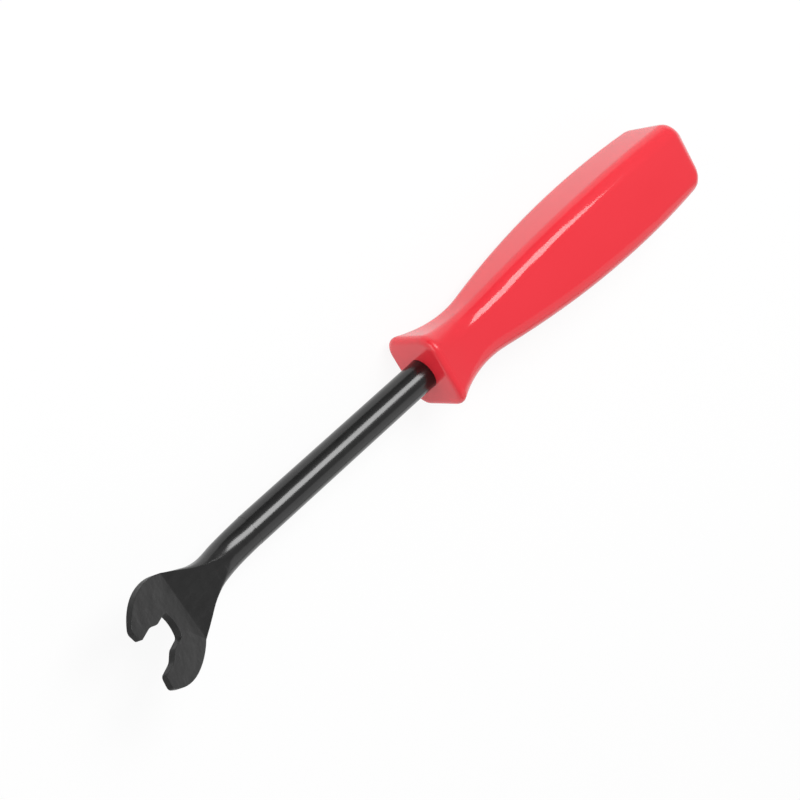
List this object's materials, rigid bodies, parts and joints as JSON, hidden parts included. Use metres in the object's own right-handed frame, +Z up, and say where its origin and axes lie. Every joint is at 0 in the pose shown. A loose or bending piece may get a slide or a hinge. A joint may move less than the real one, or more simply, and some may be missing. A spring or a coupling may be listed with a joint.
{
  "type": "trim removal tool",
  "caption": "Forked steel lever with a bent, slotted head and a round shaft set in a square moulded handle, for prising push-in clips and panels off vehicle trim.",
  "frame": {"origin": "middle of the tool's box, on the surface it lies on", "axes": "+X along the tool towards the fork, +Y across the fork, +Z up from the surface it lies on"},
  "size_m": [0.236, 0.0276, 0.029],
  "materials": {
    "handle_plastic": "glossy moulded red plastic",
    "coated_steel": "glossy black coating on forged steel"
  },
  "bodies": {
    "root": {"handle": "handle_plastic", "fork_shaft": "coated_steel"}
  },
  "joints": []
}
